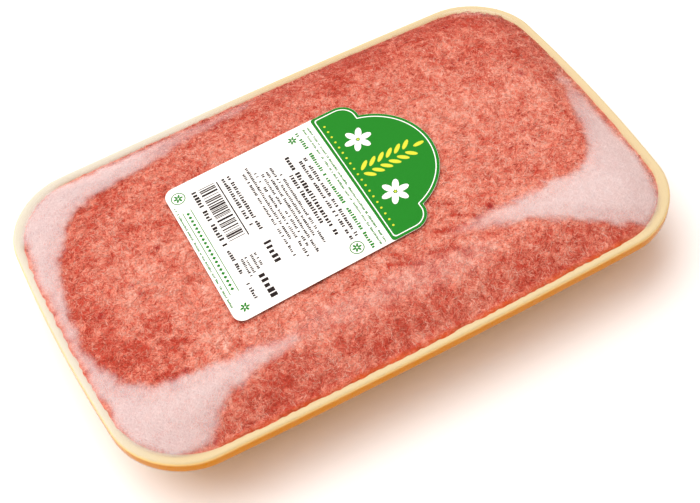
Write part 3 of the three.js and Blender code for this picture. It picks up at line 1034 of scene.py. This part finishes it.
def sheet_slab(outline, centre, low, high, pack):
    """A thin slab under an outline: rings shrinking to a centre on its underside and again on its top."""
    scales = np.array((1, 0.985, 0.9, 0.75, 0.55, 0.35, 0.18))[:, None, None]
    flat = centre + (outline[None] - centre) * scales
    rows = np.concatenate([on_label(flat[::-1], low, pack), on_label(flat, high, pack)])
    middle = np.array(centre)
    return loft(rows, on_label(middle, low, pack), on_label(middle, high, pack))


def patch_slabs(outlines, low, high, pack):
    """Thin slabs under many outlines of equal length: a fan on top, a fan beneath and a wall between."""
    total, count = outlines.shape[:2]
    centres = outlines.mean(axis=1, keepdims=True)
    flat = np.concatenate([outlines, centres], axis=1)
    vertices = np.concatenate([on_label(flat, low, pack), on_label(flat, high, pack)], axis=1)
    ring, per = np.arange(count), 2 * (count + 1)
    wall = np.stack([ring, np.roll(ring, -1), np.roll(ring, -1) + count + 1, ring + count + 1], axis=-1)
    fans = np.vstack([fan(ring, count, up=False), fan(ring + count + 1, per - 1, up=True)])
    base = (np.arange(total) * per)[:, None, None]
    return vertices.reshape(-1, 3), (base + wall[None]).reshape(-1, 4), (base + fans[None]).reshape(-1, 3)


def ribbon_slab(inner, outer, low, high, pack):
    """A closed band between two outlines of equal length: four edges carried round and joined."""
    edges = ((inner, low), (outer, low), (outer, high), (inner, high))
    rows = [on_label(edge, lift, pack) for edge, lift in edges]
    count = len(inner)
    vertices = np.concatenate(rows + rows[:1]).reshape(-1, 3)
    quads = grid_quads(5, count, closed=True) % (4 * count)
    return vertices[: 4 * count], quads[:, ::-1], np.zeros((0, 3), dtype=int)


def joined(bodies):
    """Several bodies as one set of vertices, quads and triangles."""
    starts = np.cumsum([0] + [len(body[0]) for body in bodies[:-1]])
    vertices = np.vstack([body[0] for body in bodies])
    quads = np.vstack([body[1] + start for body, start in zip(bodies, starts)])
    triangles = np.vstack([body[2] + start for body, start in zip(bodies, starts)])
    return vertices, quads, triangles


def bars(along_low, along_high, across_low, across_high):
    """Rectangles as outlines of eight points, from arrays of their sides."""
    a0, a1, c0, c1 = np.broadcast_arrays(along_low, along_high, across_low, across_high)
    am, cm = (a0 + a1) / 2, (c0 + c1) / 2
    along = np.stack([a0, am, a1, a1, a1, am, a0, a0], axis=-1)
    across = np.stack([c0, c0, c0, cm, c1, c1, c1, cm], axis=-1)
    return np.stack([along, across], axis=-1) * MM


def leaves(along, across, turn, size):
    """Ellipses of one size at arrays of places, each with its own turn."""
    round_turn = np.linspace(0, 2 * np.pi, 14, endpoint=False)
    ahead, aside = size[0] * np.cos(round_turn)[None], size[1] * np.sin(round_turn)[None]
    along, across, turn = np.broadcast_arrays(along, across, turn)
    cos, sin = np.cos(turn)[:, None], np.sin(turn)[:, None]
    a, c = along[:, None] + ahead * cos - aside * sin, across[:, None] + ahead * sin + aside * cos
    return np.stack([a, c], axis=-1) * MM


def petals(centre, radius, places, size, lean):
    """Leaves set round a circle at angles from the head, each leaning from the way outwards."""
    along, across = centre[0] + radius * np.cos(places), centre[1] + radius * np.sin(places)
    return leaves(along, across, places + lean, size)


def rings_flat(centres, radius, width):
    """Pairs of inner and outer circles round the centres, for ribbons."""
    turn = np.linspace(0, 2 * np.pi, 72, endpoint=False)
    circle = np.stack([np.cos(turn), np.sin(turn)], axis=1)
    return [[(np.array(centre) + r * circle) * MM for r in (radius, radius + width)] for centre in centres]


def print_row(draw, along, start, end, height):
    """A row of small blocks across the label, from one place to a lower one, with gaps as between words."""
    pitch = 0.72 * height
    place = np.arange(start, end, -pitch)
    place = place[draw.random(len(place)) > 0.17]
    tall = height * draw.uniform(0.62, 1, len(place))
    wide = pitch * draw.uniform(0.5, 0.8, len(place))
    return bars(along, along + tall, place - wide, place)


def stripe_code(draw, along, start, end, tall):
    """A block of upright bars of seeded widths with gaps of seeded widths, as a stock code has."""
    module = 0.297
    stops = start - module * np.cumsum(draw.integers(1, 4, 80))
    first, last = stops[0::2], stops[1::2]
    fits = last > end
    return bars(along, along + tall, last[fits], first[fits])


def black_print(look):
    """Black bars: text-like rows of several heights, and a stock code with its rule."""
    draw = np.random.default_rng(look.seed)
    rows = [print_row(draw, *row) for row in BLACK_ROWS]
    code = stripe_code(draw, 12.3, 27.4, -1.3, 6.4)
    rule = bars(np.array([19.5]), np.array([20.0]), np.array([-1.6]), np.array([26.6]))
    return np.concatenate([*rows, code, rule])


def green_print(look):
    """Fine green print: rows under the header and at the foot, and small diamonds between two rules."""
    draw = np.random.default_rng(look.seed + 1)
    rows = [print_row(draw, *row) for row in GREEN_ROWS]
    marks = np.linspace(19, -19, 21)
    zigzag = 0.75 * np.array([1, 0.5, 0, -0.5, -1, -0.5, 0, 0.5])
    diamond = np.stack([zigzag, np.roll(zigzag, 2)], axis=-1)
    diamonds = (np.stack([np.full(marks.shape, 4.6), marks], axis=-1)[:, None] + diamond[None]) * MM
    rules = bars(np.array([2.8, 6.1]), np.array([3.1, 6.4]), -21.0, 20.5)
    return np.concatenate([*rows, diamonds, rules])


def green_bodies(low, high, pack):
    """Green ink: the header's field, fine print, buds by the corners and rings round two of them."""
    look = pack.label
    field = even_walk(label_outline(look, 0.08 * MM, look.header), EDGE_STEPS)
    header = sheet_slab(field, np.array([78 * MM, 0.0]), low, high, pack)
    buds = np.concatenate([petals(centre, 1.1, SIXTHS, (0.8, 0.4), 0.0) for centre in GREEN_BUDS])
    fine = [patch_slabs(outlines, low, high, pack) for outlines in (green_print(look), buds)]
    marks = [ribbon_slab(*pair, low, high, pack) for pair in rings_flat(RINGED_BUDS, 2.4, 0.35)]
    return [header, *fine, *marks]


def white_bodies(low, high, pack):
    """White over the green: a flower on each side of the header and a line inside its edge."""
    look = pack.label
    flowers = np.concatenate([petals(centre, 3.2, SIXTHS, (2.5, 1.3), 0.0) for centre in FLOWERS])
    insets = (1.6 * MM, 1.22 * MM)
    line = [even_walk(label_outline(look, inset, look.header), EDGE_STEPS) for inset in insets]
    return [patch_slabs(flowers, low, high, pack), ribbon_slab(*line, low, high, pack)]


def lime_bodies(low, high, pack):
    """Lime over the green: a sprig of paired leaves up the middle, dots in the flowers and a row of dots."""
    pairs = np.linspace(70.5, 88.5, 6)
    sprig = [leaves(pairs, side * 2.4, side * 0.7, (2.5, 0.85)) for side in (1, -1)]
    tip = leaves(np.array([93.0]), 0.0, 0.0, (2.3, 0.85))
    dots = leaves(66.5, np.linspace(-27, 27, 19), 0.0, (0.45, 0.45))
    hearts = leaves(*np.transpose(FLOWERS), 0.0, (0.45, 0.45))
    return [patch_slabs(np.concatenate([*sprig, tip, dots, hearts]), low, high, pack)]


def ink_finish(name, shade):
    """Printing ink: one colour with faint mottling, a little glossier than the paper."""
    ink = Finish(name)
    mottle = ink.noise(900, 2)
    lighter = tuple(min(1.0, c * 1.1) for c in shade)
    return ink.done(
        ink.surface(
            Base_Color=ink.mix(mottle, tuple(shade), lighter),
            Roughness=0.38 + 0.12 * mottle,
            Specular_IOR_Level=0.2,
        )
    )


def paper_finish(look):
    """White coated paper with faint fibres."""
    paper = Finish("Paper")
    fibres = paper.noise(1500, 4)
    return paper.done(
        paper.surface(
            Base_Color=paper.mix(0.5 * fibres, tuple(look.paper), srgb(243, 243, 240)),
            Roughness=0.4 + 0.15 * fibres,
            Normal=paper.bump(fibres, 0.00002),
        )
    )


class MEATPACK_OT_label(bpy.types.Operator):
    """Lays the die-cut paper label on the film"""

    bl_idname = "meat_pack.label"
    bl_label = "Label"

    def execute(self, context):
        pack = context.scene.meat_pack
        look = pack.label
        centre = np.array([look.length / 2, 0.0])
        edge = even_walk(label_outline(look), EDGE_STEPS)
        body = sheet_slab(edge, centre, PAPER_LIFT, PAPER_LIFT + look.gauge, pack)
        new_piece("label_paper", *body, paper_finish(look), "label", "label")
        return {"FINISHED"}


class MEATPACK_OT_print(bpy.types.Operator):
    """Prints the label: green header and rows, white flowers and line, lime sprig and black bars"""

    bl_idname = "meat_pack.print"
    bl_label = "Print"

    def execute(self, context):
        pack = context.scene.meat_pack
        look = pack.label
        low = PAPER_LIFT + look.gauge + INK_LIFT
        high = low + look.ink
        over = high + OVERPRINT_LIFT
        top = over + look.ink
        inks = (
            ("green", look.green, green_bodies(low, high, pack)),
            ("white", look.paper, white_bodies(over, top, pack)),
            ("lime", look.lime, lime_bodies(over, top, pack)),
            ("black", look.black, [patch_slabs(black_print(look), low, high, pack)]),
        )
        for name, shade, bodies in inks:
            finish = ink_finish(f"{name.title()}_Ink", shade)
            new_piece(f"label_{name}", *joined(bodies), finish, "label", "label")
        return {"FINISHED"}


# Stage


def aim(location, target):
    """A matrix at a place, with -Z towards a target."""
    way = Vector(target) - Vector(location)
    return Matrix.Translation(location) @ way.to_track_quat("-Z", "Y").to_matrix().to_4x4()


def add_lamp(name, direction, distance, sides, power, shade):
    """A rectangular area light that looks at the pack from a direction."""
    lamp = bpy.data.lights.new(name, "AREA")
    lamp.shape, lamp.energy, lamp.color = "RECTANGLE", power, shade
    lamp.size, lamp.size_y = sides
    holder = bpy.data.objects.new(name, lamp)
    bpy.context.scene.collection.objects.link(holder)
    holder.matrix_world = aim(Vector(direction).normalized() * distance, (0, 0, 0.02))
    holder.visible_glossy = False


def add_camera(look, rim):
    """A camera on a sphere round its target, rolled about its own axis."""
    sin_a, cos_a = math.sin(look.azimuth), math.cos(look.azimuth)
    sin_e, cos_e = math.sin(look.elevation), math.cos(look.elevation)
    back = Vector((sin_a * cos_e, -cos_a * cos_e, sin_e))
    right = Vector((cos_a, sin_a, 0))
    up = back.cross(right)
    level = right * math.cos(look.roll) + up * math.sin(look.roll)
    upright = up * math.cos(look.roll) - right * math.sin(look.roll)
    data = bpy.data.cameras.new("Camera")
    data.lens, data.sensor_width = look.focal / IMAGE_WIDTH * SENSOR_WIDTH, SENSOR_WIDTH
    data.clip_start, data.clip_end = 0.01, 20
    camera = bpy.data.objects.new("Camera", data)
    bpy.context.scene.collection.objects.link(camera)
    place = Vector((*look.target, rim)) + back * look.distance
    camera.matrix_world = Matrix.Translation(place) @ Matrix((level, upright, back)).transposed().to_4x4()
    bpy.context.scene.camera = camera


def floor_finish(look):
    """Plain pale floor with the faintest mottling."""
    floor = Finish("Floor")
    mottle = floor.noise(30, 2)
    shade = floor.mix(0.3 * mottle, tuple(look.floor), srgb(246, 246, 246))
    return floor.done(floor.surface(Base_Color=shade, Roughness=0.7, Specular_IOR_Level=0.1))


class MEATPACK_OT_stage(bpy.types.Operator):
    """Sets the floor, the lights and the camera"""

    bl_idname = "meat_pack.stage"
    bl_label = "Stage"

    def execute(self, context):
        scene = context.scene
        look = scene.meat_pack.stage
        edge, height = 3.0, -0.4 * MM
        sides = ((-edge, -edge), (edge, -edge), (edge, edge), (-edge, edge))
        corners = [(x, y, height) for x, y in sides]
        mesh = bpy.data.meshes.new("floor")
        mesh.from_pydata(corners, [], [(0, 1, 2, 3)])
        mesh.materials.append(floor_finish(look))
        floor = bpy.data.objects.new("floor", mesh)
        scene.collection.objects.link(floor)

        add_lamp("Key", (-0.23, 0.46, 0.87), 2.2, (3.2, 2.6), 57, (0.89, 0.97, 1.0))
        add_lamp("Top", (-0.2, -0.05, 0.96), 2.2, (2.6, 2.6), 34, (1.0, 0.98, 0.95))

        world = bpy.data.worlds.new("Studio")
        world.use_nodes = True
        sky = world.node_tree.nodes["Background"]
        sky.inputs["Color"].default_value = (*look.fill, 1)
        sky.inputs["Strength"].default_value = look.fill_strength
        scene.world = world
        scene.view_settings.view_transform = "Standard"
        scene.view_settings.look = "None"
        add_camera(look, scene.meat_pack.sizes.rim)
        return {"FINISHED"}


class MEATPACK_PT_panel(bpy.types.Panel):
    """Lists the pack's pieces and their sizes"""

    bl_idname = "MEATPACK_PT_panel"
    bl_label = "Meat Tray Pack"
    bl_space_type = "VIEW_3D"
    bl_region_type = "UI"
    bl_category = "Meat Pack"

    def draw(self, context):
        pack = context.scene.meat_pack
        for operator in OPERATORS:
            self.layout.operator(operator.bl_idname)
        for group in (pack.sizes, pack.tray, pack.mince, pack.film, pack.label, pack.stage):
            box = self.layout.box()
            for name in group.__annotations__:
                box.prop(group, name)


OPERATORS = (
    MEATPACK_OT_stage,
    MEATPACK_OT_tray,
    MEATPACK_OT_mince,
    MEATPACK_OT_film,
    MEATPACK_OT_label,
    MEATPACK_OT_print,
)
GROUPS = (PackSizes, TrayLook, MinceLook, FilmLook, LabelLook, StageLook, PackSettings)
CLASSES = GROUPS + OPERATORS + (MEATPACK_PT_panel,)


def register():
    for cls in CLASSES:
        bpy.utils.register_class(cls)
    bpy.types.Scene.meat_pack = PointerProperty(type=PackSettings)


def unregister():
    del bpy.types.Scene.meat_pack
    for cls in reversed(CLASSES):
        bpy.utils.unregister_class(cls)


def main():
    register()
    bpy.ops.meat_pack.stage()
    bpy.ops.meat_pack.tray()
    bpy.ops.meat_pack.mince()
    bpy.ops.meat_pack.film()
    bpy.ops.meat_pack.label()
    bpy.ops.meat_pack.print()


if __name__ == "__main__":
    main()
